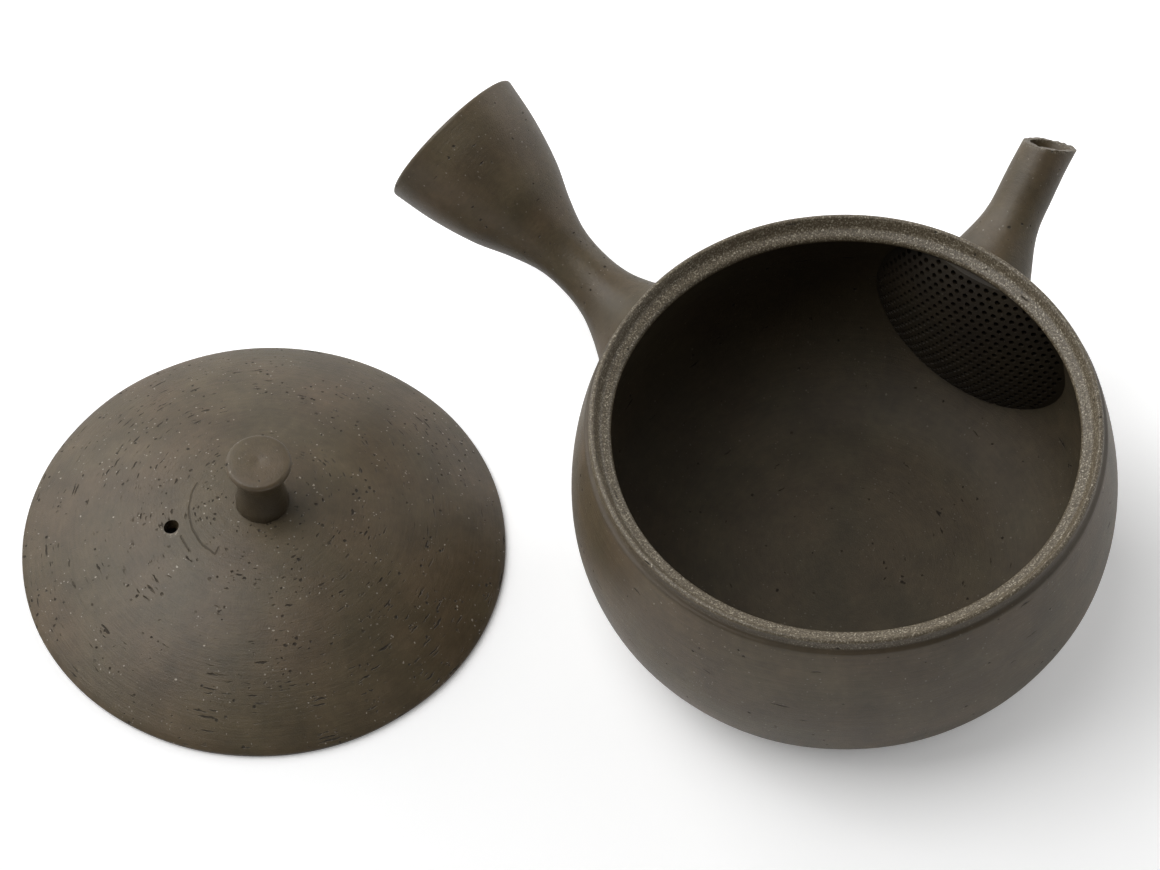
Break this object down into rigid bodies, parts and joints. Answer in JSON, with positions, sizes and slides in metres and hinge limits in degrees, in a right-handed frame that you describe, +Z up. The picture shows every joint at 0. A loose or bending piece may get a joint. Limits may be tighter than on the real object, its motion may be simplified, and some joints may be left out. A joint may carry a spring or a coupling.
{
  "type": "kyusu teapot",
  "caption": "Side-handled clay teapot: low round pot with spout, hollow trumpet handle and built-in domed strainer, and a domed lid with knob and vent beside it.",
  "frame": {"origin": "centre of the pot's flat base, on the table", "axes": "+Z up; +X the way the spout pours; the handle points to +Y, and the lid lies beside the pot towards -X and +Y"},
  "size_m": [0.1855, 0.1991, 0.0583],
  "materials": {
    "pot_clay": "unglazed dark brown-grey stoneware, matt with a slight sheen",
    "strainer_clay": "unglazed perforated clay, matt",
    "lid_clay": "unglazed dark brown-grey stoneware, matt with a slight sheen"
  },
  "bodies": {
    "pot": {"pot_body": "pot_clay", "spout": "pot_clay", "strainer": "strainer_clay", "handle": "pot_clay"},
    "lid_and_knob": {"lid": "lid_clay", "lid_knob": "lid_clay"}
  },
  "joints": [
    {"name": "lid_lift", "type": "slide", "parent": "pot", "child": "lid_and_knob", "axis": [0, 0, 1], "range_m": [0, 0.1]}
  ]
}
